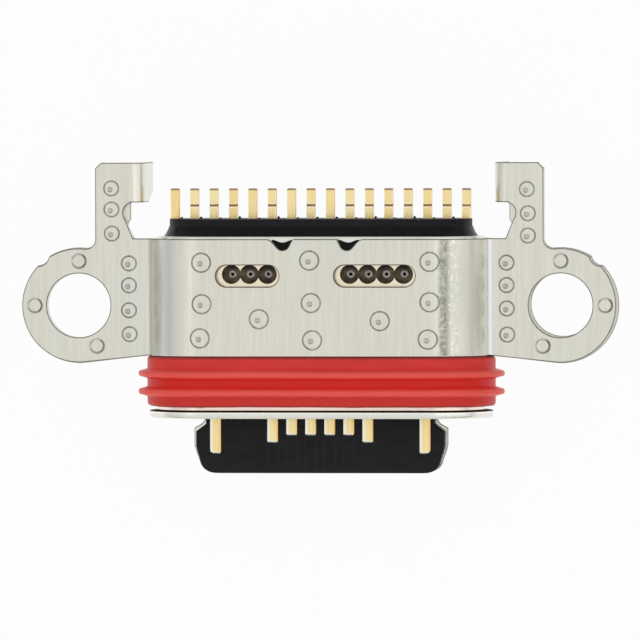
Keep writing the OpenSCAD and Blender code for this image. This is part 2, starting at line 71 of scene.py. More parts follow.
axis_z = -0.30                       # the tongue's middle lies below the plane where the two sheets meet
end_x = 2.89                         # middle of the oval's round ends
mouth_r, shell_r = 1.28, 1.40
sheet = 0.22
hat_in, hat_out = shell_r + 0.01, shell_r + 0.01 + sheet
hole_x, hole_r, ear_r = 6.32, 0.835, 1.49
body_front, body_rear = -1.305, 1.75
valley_r = 0.15
print("oval mouth:", 2 * (end_x + mouth_r), "by", 2 * mouth_r)

# %% [markdown]
# The photograph looks almost straight down, through a long lens that flattens the view. The camera leans a
# little towards the right and the rear, so the near top shifts a touch to the left of the ears.

# %% Camera
VIEW_W = 16.71                       # millimetres across the picture
DISTANCE, SENSOR = 300.0, 36.0
aim = Vector((0.0, -0.386, 0.0))
lean = Vector((tan(radians(6.0)), tan(radians(1.5)), 1.0)).normalized()

camera_data = bpy.data.cameras.new("photo_camera")
camera_data.sensor_width = SENSOR
camera_data.lens = SENSOR * DISTANCE / VIEW_W
camera_data.clip_start = 0.01
camera_data.clip_end = 10.0
camera = bpy.data.objects.new("photo_camera", camera_data)
camera.location = (aim + DISTANCE * lean) * MM
scene.collection.objects.link(camera)

up = lean.cross(Vector((1.0, 0.0, 0.0))).normalized()
right = up.cross(lean)
camera.rotation_euler = Matrix((right, up, lean)).transposed().to_euler()
scene.camera = camera
print("lens:", round(camera_data.lens), "mm")

# %% [markdown]
# Floor, world and materials are all node trees. A few helpers keep them short: a wire, a sum, a change of span,
# one axis of a vector, and a plain new material.

# %% Node helpers


def link(tree, a, b):
    tree.links.new(a, b)


def maths(tree, work, first, second=0.0):
    """A sum on a socket; its second term is a number or another socket."""
    node = tree.nodes.new("ShaderNodeMath")
    node.operation = work
    link(tree, first, node.inputs[0])
    if isinstance(second, bpy.types.NodeSocket):
        link(tree, second, node.inputs[1])
    else:
        node.inputs[1].default_value = second
    return node.outputs[0]


def between(tree, value, low, high, start=0.3, stop=0.7):
    """Map the span from start to stop, by default that of a noise, to the span from low to high."""
    ranged = tree.nodes.new("ShaderNodeMapRange")
    for name, number in (("From Min", start), ("From Max", stop), ("To Min", low), ("To Max", high)):
        ranged.inputs[name].default_value = number
    link(tree, value, ranged.inputs["Value"])
    return ranged.outputs["Result"]


def axis_of(tree, vector, axis):
    parts = tree.nodes.new("ShaderNodeSeparateXYZ")
    link(tree, vector, parts.inputs[0])
    return parts.outputs[axis]


def new_material(name, colour, metallic, rough):
    material = bpy.data.materials.new(name)
    material.use_nodes = True
    shader = material.node_tree.nodes["Principled BSDF"]
    shader.inputs["Base Color"].default_value = (*colour, 1)
    shader.inputs["Metallic"].default_value = metallic
    shader.inputs["Roughness"].default_value = rough
    return material, material.node_tree, shader


# %% [markdown]
# A pale floor lies just under the seal's lips. Where the camera or a reflection sees it, it mostly glows white,
# and the rest of it is paper that takes the shadow. Steel shows what surrounds it, so the light is a room of
# soft boxes: a large one overhead, strips at the sides, and a plain bright world between them.

# %% Floor, world and lights
FLOOR_GAP, FLOOR_GLOW = 0.02, 0.95   # millimetres under the part, and the share of white
scene.view_settings.view_transform = "Standard"

floor_z = cad_low.z - FLOOR_GAP * MM
floor_mesh = bpy.data.meshes.new("floor")
reach = 1.5                          # metres
floor_mesh.from_pydata(
    [(-reach, -reach, floor_z), (reach, -reach, floor_z), (reach, reach, floor_z), (-reach, reach, floor_z)],
    [], [(0, 1, 2, 3)])
floor = bpy.data.objects.new("floor", floor_mesh)
scene.collection.objects.link(floor)

paper, tree, surface = new_material("pale_paper", (0.9, 0.9, 0.9), 0.0, 0.9)
surface.inputs["Specular IOR Level"].default_value = 0.1
glow = tree.nodes.new("ShaderNodeEmission")
glow.inputs["Color"].default_value = (1, 1, 1, 1)
glow.inputs["Strength"].default_value = 1.0
mix = tree.nodes.new("ShaderNodeMixShader")
rays = tree.nodes.new("ShaderNodeLightPath")
seen = rays.outputs["Is Camera Ray"]
for kind in ("Is Glossy Ray", "Is Transmission Ray"):
    seen = maths(tree, "MAXIMUM", seen, rays.outputs[kind])
link(tree, maths(tree, "MULTIPLY", seen, FLOOR_GLOW), mix.inputs["Fac"])
link(tree, surface.outputs[0], mix.inputs[1])
link(tree, glow.outputs[0], mix.inputs[2])
link(tree, mix.outputs[0], tree.nodes["Material Output"].inputs["Surface"])
floor_mesh.materials.append(paper)

world = bpy.data.worlds.new("bright_room")
scene.world = world
world.use_nodes = True
tree = world.node_tree
sky = tree.nodes["Background"]
sky.inputs["Color"].default_value = (1.0, 1.0, 1.0, 1)
where = tree.nodes.new("ShaderNodeTexCoord")
height = axis_of(tree, where.outputs["Generated"], "Z")
link(tree, between(tree, height, 0.38, 0.6, 0.0, 0.7), sky.inputs["Strength"])


def soft_box(name, place, target, size, power):
    lamp = bpy.data.lights.new(name, "AREA")
    lamp.shape = "RECTANGLE"
    lamp.size, lamp.size_y = size[0] * MM, size[1] * MM
    lamp.energy = power
    box = bpy.data.objects.new(name, lamp)
    box.location = Vector(place) * MM
    box.rotation_euler = (Vector(target) - Vector(place)).to_track_quat("-Z", "Y").to_euler()
    scene.collection.objects.link(box)


soft_box("overhead_box", (-27, 0, 120), (-27, 0, 0), (145, 150), 0.019)
soft_box("right_strip", (92, 0, 77), (0, 0, 0), (42, 160), 0.0125)
soft_box("left_strip", (-115, 0, 62), (0, 0, 0), (70, 160), 0.0095)
soft_box("front_strip", (0, -110, 55), (0, 0, 0), (200, 40), 0.016)

# %% [markdown]
# Materials come next. Each is a small node tree on one Principled shader: colour with a little drift,
# roughness with streaks or mottle, and a bump that is far finer than any shape. Helpers make the usual parts of
# a tree: noise on stretched coordinates, a blend of two colours, a relief, and a mask for a band along an axis.

# %% Material helpers


def stretched_noise(tree, scale, detail=3.0, rough=0.5):
    """Noise on object coordinates; scale is in waves per millimetre along each axis."""
    where = tree.nodes.new("ShaderNodeTexCoord")
    stretch = tree.nodes.new("ShaderNodeMapping")
    stretch.inputs["Scale"].default_value = [s / MM for s in scale]
    noise = tree.nodes.new("ShaderNodeTexNoise")
    noise.inputs["Scale"].default_value = 1.0
    noise.inputs["Detail"].default_value = detail
    noise.inputs["Roughness"].default_value = rough
    link(tree, where.outputs["Object"], stretch.inputs["Vector"])
    link(tree, stretch.outputs["Vector"], noise.inputs["Vector"])
    return noise.outputs["Fac"]


def mixed(tree, mask, first, second):
    """Blend from the first colour to the second by a mask; each is a colour or a socket."""
    layer = tree.nodes.new("ShaderNodeMix")
    layer.data_type = "RGBA"
    link(tree, mask, layer.inputs["Factor"])
    for name, colour in (("A", first), ("B", second)):
        if isinstance(colour, bpy.types.NodeSocket):
            link(tree, colour, layer.inputs[name])
        else:
            layer.inputs[name].default_value = (*colour, 1)
    return layer.outputs["Result"]


def bump(tree, shader, heights, strength, depth):
    """Add a fine relief; depth is in millimetres."""
    total = heights[0]
    for extra in heights[1:]:
        total = maths(tree, "ADD", total, extra)
    relief = tree.nodes.new("ShaderNodeBump")
    relief.inputs["Strength"].default_value = strength
    relief.inputs["Distance"].default_value = depth * MM
    link(tree, total, relief.inputs["Height"])
    link(tree, relief.outputs["Normal"], shader.inputs["Normal"])


def along(tree, axis):
    """Place along an axis of the part, in metres."""
    return axis_of(tree, tree.nodes.new("ShaderNodeTexCoord").outputs["Object"], axis)


def times(tree, a, b):
    return maths(tree, "MULTIPLY", a, b)


def band_mask(tree, low, high, soft, axis="X"):
    """One inside a band along an axis, in millimetres, and nothing outside it; soft blurs its ends."""
    place = along(tree, axis)
    rise = between(tree, place, 0, 1, (low - soft) * MM, (low + soft) * MM)
    drop = between(tree, place, 1, 0, (high - soft) * MM, (high + soft) * MM)
    return times(tree, rise, drop)


# %% [markdown]
# The brackets are stainless strip. Its rolling leaves faint lines along Y, and the bending leaves a coarse grain
# where the outside of the sheet was stretched. On the bends the colour carries painted light: painted shade and
# painted glints in the grain, and a painted reflection tint on each bend.

# %% Rolled stainless strip
# The first band holds the grain's relief; the second is painted shade, the third painted glints, and the bend tints
# are painted reflections.
GRAIN, PAINTED_SHADE_BAND, PAINTED_GLINT_BAND = (3.34, 3.80, 0.08), (3.24, 3.50, 0.06), (3.46, 3.74, 0.06)
BEND_PAINTED_REFLECTIONS = (
    (-4.32, -3.75, 0.6, (0.60, 0.62, 0.64)), (3.80, 4.30, 0.5, (0.64, 0.62, 0.53)),
    (4.34, 4.62, 0.5, (0.76, 0.78, 0.84)))


def rolled_steel(name, light, dark, rough, grain_and_painted_bends=False):
    material, tree, shader = new_material(name, light, 1.0, rough)
    lines = stretched_noise(tree, (12, 0.45, 12), 5.0, 0.65)
    clouds = stretched_noise(tree, (0.5, 0.35, 0.5), 3.0)
    warm = mixed(tree, between(tree, clouds, 0.0, 1.0), light, (light[0] * 0.97, light[1], light[2] * 1.06))
    colour = mixed(tree, between(tree, lines, 0.0, 1.0), dark, warm)
    link(tree, between(tree, clouds, rough - 0.04, rough + 0.06), shader.inputs["Roughness"])
    heights = [lines, stretched_noise(tree, (26, 9, 26), 2.0)]
    if grain_and_painted_bends:
        coarse = stretched_noise(tree, (9, 9, 9), 3.0, 0.7)
        heights.append(times(tree, between(tree, coarse, 0.0, 7.0, 0.25, 0.75), band_mask(tree, *GRAIN)))
        # Painted light: shade in a dark band of the grain, glints, and a reflection tint on each bend.
        painted_dark_specks = times(tree, between(tree, coarse, 0.25, 0.9, 0.35, 0.65), band_mask(tree, *PAINTED_SHADE_BAND))
        colour = mixed(tree, painted_dark_specks, colour, [0.25 * c for c in dark])
        painted_glints = times(tree, between(tree, coarse, 0.0, 0.9, 0.52, 0.62), band_mask(tree, *PAINTED_GLINT_BAND))
        colour = mixed(tree, painted_glints, colour, (0.98, 0.97, 0.90))
        for low, high, share, shade in BEND_PAINTED_REFLECTIONS:
            colour = mixed(tree, between(tree, band_mask(tree, low, high, 0.08), 0, share, 0, 1), colour, shade)
    link(tree, colour, shader.inputs["Base Color"])
    bump(tree, shader, heights, 0.3, 0.004)
    return material


bracket_steel = rolled_steel("rolled_stainless", (0.815, 0.80, 0.695), (0.72, 0.705, 0.605), 0.26, grain_and_painted_bends=True)
bright_steel = rolled_steel("bright_stainless", (0.86, 0.85, 0.77), (0.79, 0.78, 0.70), 0.22)
shell_steel = rolled_steel("drawn_stainless", (0.86, 0.85, 0.77), (0.79, 0.78, 0.70), 0.22)
# Sheared edges are dark partly as duller torn steel and partly as painted shade for the dark outline an edge shows.
sheared_edge_and_shade = rolled_steel("sheared_edge_and_shade", (0.30, 0.28, 0.245), (0.20, 0.185, 0.16), 0.42)
# Painted shade for the weld rings' grooves and for the right-hand walls of the pips.
groove_shade = rolled_steel("groove_shade", (0.58, 0.565, 0.50), (0.27, 0.26, 0.23), 0.40)
# A darker skin for the weld dots, and a softer painted shade on the pips' other walls.
dark_dent = rolled_steel("dark_dent", (0.68, 0.665, 0.585), (0.48, 0.465, 0.41), 0.34)
# Painted shadow for the collar's root and back edge.
collar_gap_shadow = rolled_steel("collar_gap_shadow", (0.05, 0.036, 0.027), (0.03, 0.022, 0.017), 0.45)
# A painted highlight for the upper bracket's front round: near white and not metal.
front_edge_highlight = rolled_steel("front_edge_highlight", (1.0, 0.97, 0.92), (0.97, 0.93, 0.88), 0.55)
front_edge_highlight.node_tree.nodes["Principled BSDF"].inputs["Metallic"].default_value = 0.0

# %% [markdown]
# The shell is the same steel with tints from what lies round it: welding heat under the windows, a painted
# reflection of the red seal in the groove beside it, and painted shade in the gap behind the seal. The collar's
# top carries a painted highlight.

# %% Tints on the shell
HEAT_Y, HEAT_Z = (0.45, 1.15, 0.05), (1.0, 1.2, 0.02)
SEAL_REFLECTION, COLLAR_HIGHLIGHT, SEAL_GAP = (-2.73, -2.60, 0.01), (-2.80, -2.765, 0.008), (-1.34, -1.27, 0.01)
tree = shell_steel.node_tree
base = tree.nodes["Principled BSDF"].inputs["Base Color"]
heated = times(tree, band_mask(tree, *HEAT_Y, "Y"), band_mask(tree, *HEAT_Z, "Z"))
colour = mixed(tree, between(tree, heated, 0, 0.75, 0, 1), base.links[0].from_socket, (0.95, 0.81, 0.58))
# A painted reflection of the seal, a painted highlight on the collar's top, and painted shade in the gap.
for band, shade in ((SEAL_REFLECTION, (1.0, 0.84, 0.75)), (COLLAR_HIGHLIGHT, (1.0, 0.98, 0.90)), (SEAL_GAP, (0.16, 0.05, 0.04))):
    colour = mixed(tree, band_mask(tree, *band, "Y"), colour, shade)
link(tree, colour, base)
print("steel skins:", [m.name for m in bpy.data.materials if m.name != "pale_paper"])

# %% [markdown]
# Plated contacts are gold over nickel: a warm metal with drawn lines along the strip. On the tongue each pad has a
# painted highlight on its left and along its nose and painted shade on its right, every wall that faces right
# carries painted shade, and the walls of the score line across each tail are brown.

# %% Gold plate
STRIP_PITCH, STRIP_HALF = 0.5, 0.146
PADS, SCORES, TAIL_ENDS = (-4.3, -2.6, 0.02), (2.4, 2.8, 0.02), (3.0, 3.2, 0.01)
LEFT_HIGHLIGHT, RIGHT_SHADE, NOSE_HIGHLIGHT = (1.0, 0.98, 0.86), (1.0, 0.66, 0.24), (1.0, 0.98, 0.88)
SCORED, RIGHT_WALL_SHADE, CUT_END = (0.64, 0.42, 0.18), (0.80, 0.47, 0.16), (0.36, 0.27, 0.16)


def facing(tree, axis, start, stop):
    """One on a face whose normal reaches stop along an axis, nothing before start."""
    shape = tree.nodes.new("ShaderNodeNewGeometry")
    return between(tree, axis_of(tree, shape.outputs["True Normal"], axis), 0, 1, start, stop)


def strip_offset(tree):
    """Distance from the middle of the nearest strip, in strip pitches; less than nothing on its left."""
    offset = along(tree, "X")
    for work, number in (("MULTIPLY", 1 / (STRIP_PITCH * MM)), ("FRACT", 0), ("SUBTRACT", 0.5)):
        offset = maths(tree, work, offset, number)
    return offset


def gold(name, pale, deep):
    material, tree, shader = new_material(name, pale, 1.0, 0.27)
    drawn = stretched_noise(tree, (30, 1.6, 30), 3.0)
    patches = stretched_noise(tree, (1.3, 0.6, 1.3), 2.0)
    colour = mixed(tree, between(tree, patches, 0, 1), pale, deep)
    offset, half = strip_offset(tree), STRIP_HALF / STRIP_PITCH
    on_tongue, on_tail = band_mask(tree, *PADS, "Y"), band_mask(tree, *SCORES, "Y")
    # Painted highlight on each pad's left and nose, painted shade on its right.
    left = times(tree, on_tongue, between(tree, offset, 1, 0, 0.06 - half, 0.19 - half))
    right = times(tree, on_tongue, between(tree, offset, 0, 1, half - 0.2, half))
    nose = times(tree, on_tongue, facing(tree, "Y", -0.1, -0.3))
    for mask, shade in ((right, RIGHT_SHADE), (left, LEFT_HIGHLIGHT), (nose, NOSE_HIGHLIGHT)):
        colour = mixed(tree, mask, colour, shade)
    for toward in (1, -1):
        score = times(tree, on_tail, facing(tree, "Y", 0.1 * toward, 0.3 * toward))
        colour = mixed(tree, score, colour, SCORED)
    # Painted shade on every wall that faces right.
    colour = mixed(tree, facing(tree, "X", 0.2, 0.5), colour, RIGHT_WALL_SHADE)
    colour = mixed(tree, band_mask(tree, *TAIL_ENDS, "Y"), colour, CUT_END)
    link(tree, colour, shader.inputs["Base Color"])
    link(tree, between(tree, nose, 1.0, 0.2, 0.0, 1.0), shader.inputs["Metallic"])
    link(tree, between(tree, drawn, 0.2, 0.36), shader.inputs["Roughness"])
    bump(tree, shader, [drawn], 0.2, 0.003)
    return material


gold_plate = gold("gold_plate", (1.0, 0.87, 0.48), (1.0, 0.76, 0.34))
# A paler gold for the contacts' rounded edges: a painted highlight.
gold_edge_highlight = gold("gold_edge_highlight", (1.0, 0.95, 0.74), (1.0, 0.88, 0.60))

# %% [markdown]
# The moulding is a glass-filled black plastic with a fine matt skin. Faint lines show where the strips lie under
# it, and the bottoms of the core pin holes are a mottled brown, left black at their rear edge as painted shadow.
# The potting behind it is black too, but it set as a liquid and shines.

# %% Black plastic and potting
LINES_X, LINES_Y = (-1.45, 1.45, 0.02), (-4.25, -3.2, 0.05)
PITS_Y_AND_SHADOW, PITS_Z = (0.5, 0.99, 0.07), (0.6, 1.2, 0.05)
black_plastic, tree, shader = new_material("black_moulding", (0.006, 0.006, 0.0065), 0.0, 0.5)
grains = stretched_noise(tree, (24, 24, 24), 3.0)
flow = stretched_noise(tree, (1.2, 4, 1.2), 3.0)
plain = mixed(tree, between(tree, flow, 0, 1), (0.006, 0.006, 0.0075), (0.012, 0.0115, 0.014))
offset = strip_offset(tree)
for work, number in (("ABSOLUTE", 0), ("SUBTRACT", STRIP_HALF / STRIP_PITCH), ("ABSOLUTE", 0)):
    offset = maths(tree, work, offset, number)
strip_lines = times(tree, between(tree, offset, 1, 0, 0.015, 0.045), band_mask(tree, *LINES_X))
strip_lines = times(tree, strip_lines, band_mask(tree, *LINES_Y, "Y"))
plain = mixed(tree, strip_lines, plain, (0.017, 0.0155, 0.017))
# The brown stops short of the pits' rear edge, which stays black as a painted shadow.
in_pits = times(tree, band_mask(tree, *PITS_Y_AND_SHADOW, "Y"), band_mask(tree, *PITS_Z, "Z"))
stain = between(tree, stretched_noise(tree, (5, 5, 5), 3.0), 0, 1)
pit_brown = mixed(tree, stain, (0.06, 0.046, 0.03), (0.26, 0.20, 0.13))
link(tree, mixed(tree, in_pits, plain, pit_brown), shader.inputs["Base Color"])
shader.inputs["Specular IOR Level"].default_value = 0.2
link(tree, between(tree, grains, 0.42, 0.6), shader.inputs["Roughness"])
bump(tree, shader, [grains], 0.2, 0.004)

# A painted highlight: a bright ring in the bottom of each core pin hole.
pit_ring_highlight, tree, shader = new_material("pit_ring_highlight", (0.36, 0.32, 0.31), 0.0, 0.3)
ring_glint_drift = between(tree, stretched_noise(tree, (18, 18, 18), 2.0), 0, 1)
link(tree, mixed(tree, ring_glint_drift, (0.42, 0.38, 0.37), (0.78, 0.74, 0.73)), shader.inputs["Base Color"])

potting_gloss, tree, shader = new_material("potting_gloss", (0.012, 0.012, 0.014), 0.0, 0.18)
ripple = stretched_noise(tree, (2.5, 2.5, 2.5), 2.0)
colour = mixed(tree, between(tree, ripple, 0, 1), (0.007, 0.007, 0.0085), (0.011, 0.0105, 0.0125))
link(tree, colour, shader.inputs["Base Color"])
shader.inputs["Specular IOR Level"].default_value = 0.12
link(tree, between(tree, ripple, 0.24, 0.36), shader.inputs["Roughness"])
bump(tree, shader, [ripple], 0.3, 0.01)

# %% [markdown]
# The seal is soft silicone: red all through, satin, with dust-fine mottle. Painted shade darkens it towards its
# ends and deepens it between the lips, and the lips themselves carry a painted highlight.

# %% Red silicone
# Bands of painted shade along Y.
SEAL_PAINTED_SHADE = (
    (-1.375, -1.20, (0.40, 0.036, 0.028)), (-2.13, -1.90, (0.78, 0.020, 0.015)),
    (-2.70, -2.37, (0.69, 0.036, 0.028)), (-2.70, -2.585, (0.52, 0.042, 0.030)))


def silicone(name, first, second):
    material, tree, shader = new_material(name, first, 0.0, 0.42)
    mottle = stretched_noise(tree, (0.9, 5, 0.9), 3.0)
    dust = stretched_noise(tree, (20, 20, 20), 2.0)
    colour = mixed(tree, between(tree, mottle, 0, 1), first, second)
    for low, high, shade in SEAL_PAINTED_SHADE:
        colour = mixed(tree, band_mask(tree, low, high, 0.03, "Y"), colour, shade)
    link(tree, colour, shader.inputs["Base Color"])
    shader.inputs["Specular IOR Level"].default_value = 0.25
    link(tree, between(tree, dust, 0.36, 0.5), shader.inputs["Roughness"])
    bump(tree, shader, [dust], 0.15, 0.004)
    return material


red_silicone = silicone("red_silicone", (0.77, 0.038, 0.029), (0.86, 0.05, 0.04))
# A lighter copy of the silicone: a painted highlight on the lips.
lip_highlight_silicone = silicone("lip_highlight_silicone", (0.93, 0.10, 0.076), (0.97, 0.115, 0.09))
print("materials:", [m.name for m in bpy.data.materials if m.use_nodes])

# %% [markdown]
# Next come the helpers that make meshes from points in millimetres: a piece between two rings of points, a
# prism from an outline, and a ring of round section. The brackets carry several skins, so every mesh starts
# with a place for each.

# %% Mesh helpers
bracket_skins = [bracket_steel, sheared_edge_and_shade, groove_shade, dark_dent, front_edge_highlight]
STEEL, EDGE, LINE, DOT, FRONT_HIGHLIGHT = range(5)


@contextmanager
def editing(mesh):
    made = bmesh.new()
    made.from_mesh(mesh)
    yield made
    made.to_mesh(mesh)
    made.free()


def everything(made):
    return [*made.verts, *made.edges, *made.faces]


def mesh_object(name, points, faces, finish=STEEL):
    """A piece from points in millimetres; finish picks the skin of its faces."""
    mesh = bpy.data.meshes.new(name)
    mesh.from_pydata(points, [], faces)
    for skin in bracket_skins:
        mesh.materials.append(skin)
    for face in mesh.polygons:
        face.material_index = finish
    with editing(mesh) as made:
        bmesh.ops.recalc_face_normals(made, faces=made.faces)
    thing = bpy.data.objects.new(name, mesh)
    scene.collection.objects.link(thing)
    return thing


def arc(centre, r, start, stop, steps):
    """Points on an arc, angles in degrees."""
    angles = [radians(start + (stop - start) * i / steps) for i in range(steps + 1)]
    return [(centre[0] + r * cos(a), centre[1] + r * sin(a)) for a in angles]


def circle(centre, r, steps):
    return arc(centre, r, 0, 360 - 360 / steps, steps - 1)


def ring_faces(rows, around, first=0, closed=False):
    """Faces between neighbouring rings of points; closed also joins the last ring to the first."""
    faces = []
    for k in range(rows if closed else rows - 1):
        low, high = first + k * around, first + (k + 1) % rows * around
        faces += [(low + i, low + (i + 1) % around, high + (i + 1) % around, high + i) for i in range(around)]
    return faces


def ball_faces(rings, around):
    """Faces from a first point over rings of points to a last point."""
    low, top = 1 + (rings - 1) * around, 1 + rings * around
    start = [(0, 1 + (j + 1) % around, 1 + j) for j in range(around)]
    end = [(low + j, low + (j + 1) % around, top) for j in range(around)]
    return start + ring_faces(rings, around, first=1) + end


def loft(name, low, high):
    """A closed piece between two rings with as many points each."""
    n = len(low)
    caps = [tuple(range(n - 1, -1, -1)), tuple(range(n, 2 * n))]
    return mesh_object(name, low + high, caps + ring_faces(2, n))


def prism(name, outline, low, high, place):
    """Carry a closed outline from low to high; place turns (u, v, w) into x, y, z."""
    return loft(name, [place(u, v, low) for u, v in outline], [place(u, v, high) for u, v in outline])


def torus(name, x, y, r, thick, height, around, finish=STEEL, sides=10):
    """A ring of round section; height gives the level of the section's middle at a place along X."""
    points = []
    for i in range(around):
        a = 2 * pi * i / around
        for j in range(sides):
            b = 2 * pi * j / sides
            u, v = x + (r + thick * cos(b)) * cos(a), y + (r + thick * cos(b)) * sin(a)
            points.append((u, v, height(u) + thick * sin(b)))
    return mesh_object(name, points, ring_faces(around, sides, closed=True), finish)


def upright(u, v, w):
    return (u, v, w)


def across_y(u, v, w):
    return (u, w, v)


def across_x(u, v, w):
    return (w, u, v)


# %% [markdown]
# Pieces are then cut, joined and rounded by modifiers. A modifier is evaluated once and its result kept, so
# nothing depends on objects that are deleted afterwards, and each boolean leaves one clean closed skin.

# %% Cutting, rounding and dressing
SHARP = 35                           # degrees between faces at an edge


def baked(thing):
    """Replace a piece's mesh by what its modifiers make of it."""
    graph = bpy.context.evaluated_depsgraph_get()
    result = bpy.data.meshes.new_from_object(thing.evaluated_get(graph))
    thing.modifiers.clear()
    thing.data = result


def combine(thing, others, how):
    for other in others:
        step = thing.modifiers.new(how.lower(), "BOOLEAN")
        step.operation = how
        step.solver = "EXACT"
        step.object = other
        baked(thing)
        bpy.data.objects.remove(other)
        with editing(thing.data) as made:
            bmesh.ops.remove_doubles(made, verts=made.verts, dist=2e-5)
    return thing


def joined(things):
    target = things[0]
    with bpy.context.temp_override(active_object=target, selected_editable_objects=things, selected_objects=things):
        bpy.ops.object.join()
    return target


def soften(thing, width, segments=2, finish=-1):
    """Break the sharp edges by a small round; the width is in the mesh's own unit."""
    edge = thing.modifiers.new("soft_edges", "BEVEL")
    edge.width = width
    edge.segments = segments
    edge.limit_method = "ANGLE"
    edge.angle_limit = radians(SHARP)
    edge.use_clamp_overlap = False
    edge.material = finish


def smooth(thing, angle):
    thing.data.shade_smooth()
    thing.data.set_sharp_from_angle(angle=radians(angle))
    even = thing.modifiers.new("even_normals", "WEIGHTED_NORMAL")
    even.keep_sharp = True


def dress(thing, skins, slot, *stands_for):
    """Bring a finished piece from millimetres to metres, give it its skins and hang it on the part."""
    thing.data.transform(Matrix.Scale(MM, 4))
    for i in range(len(thing.data.materials)):
        thing.data.materials[i] = skins[min(i, len(skins) - 1)]
    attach(thing, "root")
    if stands_for:
        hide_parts(*stands_for)
    print(thing.name, "faces:", len(thing.data.polygons))


# %% [markdown]
# Shell and seal run round the same oval. One helper walks a profile round it: half a turn at the right end,
# half a turn at the left, and straight runs between, closed into a ring.

# %% Oval sweep


def oval_stations(arc_steps, run_steps):
    """(middle x, angle) for each place round the oval."""
    stations = [(end_x, -pi / 2 + pi * i / arc_steps) for i in range(arc_steps + 1)]
    stations += [(end_x - 2 * end_x * i / run_steps, pi / 2) for i in range(1, run_steps)]
    stations += [(-end_x, pi / 2 + pi * i / arc_steps) for i in range(arc_steps + 1)]
    stations += [(-end_x + 2 * end_x * i / run_steps, 3 * pi / 2) for i in range(1, run_steps)]
    return stations


def oval_sweep(name, profile, arc_steps=56, run_steps=24, ripple=None):
    stations = oval_stations(arc_steps, run_steps)
    points = []
    for k, (mid, a) in enumerate(stations):
        for r, y in profile:
            dr, dy = ripple(k / len(stations), r, y) if ripple else (0.0, 0.0)
            points.append((mid + (r + dr) * cos(a), y + dy, axis_z + (r + dr) * sin(a)))
    return mesh_object(name, points, ring_faces(len(stations), len(profile), closed=True))


def mark_profile(swept, profile, chosen):
    """Give the second finish to the faces whose profile points are chosen."""
    n = len(profile)
    for face in swept.data.polygons:
        i = face.index % n
        face.material_index = int(chosen(*profile[i]) and chosen(*profile[(i + 1) % n]))


def rounded(corners, steps=6):
    """Round an outline: each corner is (u, v, radius)."""
    out = []
    for i, (u, v, r) in enumerate(corners):
        here = Vector((u, v))
        before = Vector(corners[i - 1][:2])
        after = Vector(corners[(i + 1) % len(corners)][:2])
        if r == 0:
            out.append((u, v))
            continue
        a, b = (before - here).normalized(), (after - here).normalized()
        half = acos(max(-1, min(1, a.dot(b)))) / 2
        back_off = r / tan(half)
        middle = here + (a + b).normalized() * r / sin(half)
        first = here + a * back_off - middle
        last = here + b * back_off - middle
        start = atan2(first.y, first.x)
        sweep = atan2(last.y, last.x) - start
        sweep = (sweep + pi) % (2 * pi) - pi
        for s in range(steps + 1):
            t = start + sweep * s / steps
            out.append((middle.x + r * cos(t), middle.y + r * sin(t)))
    return out


# %% [markdown]
# The shell is deep drawn from one sheet and flared at the mouth. Its rim edges are rounded by the tools that
# trimmed it, which a finer profile shows. The core pin holes are those of the solid, and the bleed holes are as
# wide as the bracket's notches over them. A dark line of painted shadow marks the collar's root and its back edge.

# %% Shell
collar_front, collar_back, collar_r = -2.93, -2.735, 1.62
shell_rear = 1.81
shell_profile = rounded([
    (mouth_r, shell_rear, 0.03), (shell_r, shell_rear, 0.03), (shell_r, collar_back, 0.02),
    (collar_r, collar_back, 0.04), (collar_r, collar_front, 0.06), (mouth_r, collar_front, 0.09)])
shell = oval_sweep("drawn_shell", shell_profile)


# Faces painted dark as painted shadow: the collar's back edge and its root.
def is_dark_line(r, y):
    back_edge = r > collar_r - 0.06 and y > collar_back - 0.032
    root = shell_r - 0.01 < r < shell_r + 0.05 and collar_back - 0.01 < y < collar_back + 0.03
    return back_edge or root


mark_profile(shell, shell_profile, is_dark_line)

SHELL_CUT = (0.4, 1.6)               # heights of what is cut through the shell's top
PIN_PITCH, PIN_Y, PIN_R = 0.47, 0.83, 0.25
pin_rows = [(-2.20, 3), (0.89, 4)]
pin_places = [(x + i * PIN_PITCH, PIN_Y) for x, count in pin_rows for i in range(count)]
NOTCH_X, NOTCH_R, NOTCH_DEPTH, NOTCH_FLARE = 0.84, 0.18, 0.29, 0.40
NOTCH_INNER = NOTCH_X - NOTCH_R - 0.08
LIP_RIM, LIP_SAG, LIP_STEPS = 0.016, 0.075, 12
notch_y = body_rear - NOTCH_DEPTH + NOTCH_R


def drill(name, x, y, r, low, high, steps=40):
    return prism(name, circle((x, y), r, steps), low, high, upright)


def notch_curve():
    """Down the steep inner side, round the bottom and up the long outer slope."""
    slope = [(0.19, -0.165), (0.24, -0.105), (0.30, -0.05), (0.35, -0.02), (NOTCH_FLARE, 0.0)]
    curve = [(NOTCH_INNER, body_rear)] + arc((NOTCH_X, notch_y), NOTCH_R, 200, 320, 16)
    return curve + [(NOTCH_X + u, body_rear + v) for u, v in slope]


def notch_outline(side):
    outline = [(NOTCH_INNER, body_rear + 1)] + notch_curve() + [(NOTCH_X + NOTCH_FLARE, body_rear + 1)]
    return [(side * u, v) for u, v in outline]


def bleed(side):
    """Under the bracket's notch, with a lip of the shell that sags into it from the rear rim."""
    dip = [(u, v - LIP_RIM) for u, v in notch_curve()[:-2]]
    x0, x1 = dip[0][0], dip[-1][0]
    outline = dip + [(x1, body_rear - LIP_RIM)]
    for i in range(1, LIP_STEPS):
        t = i / LIP_STEPS
        outline.append((x1 + (x0 - x1) * t, body_rear - LIP_RIM - LIP_SAG * sin(pi * t) ** 2))
    return prism("bleed", [(side * u, v) for u, v in outline], *SHELL_CUT, upright)


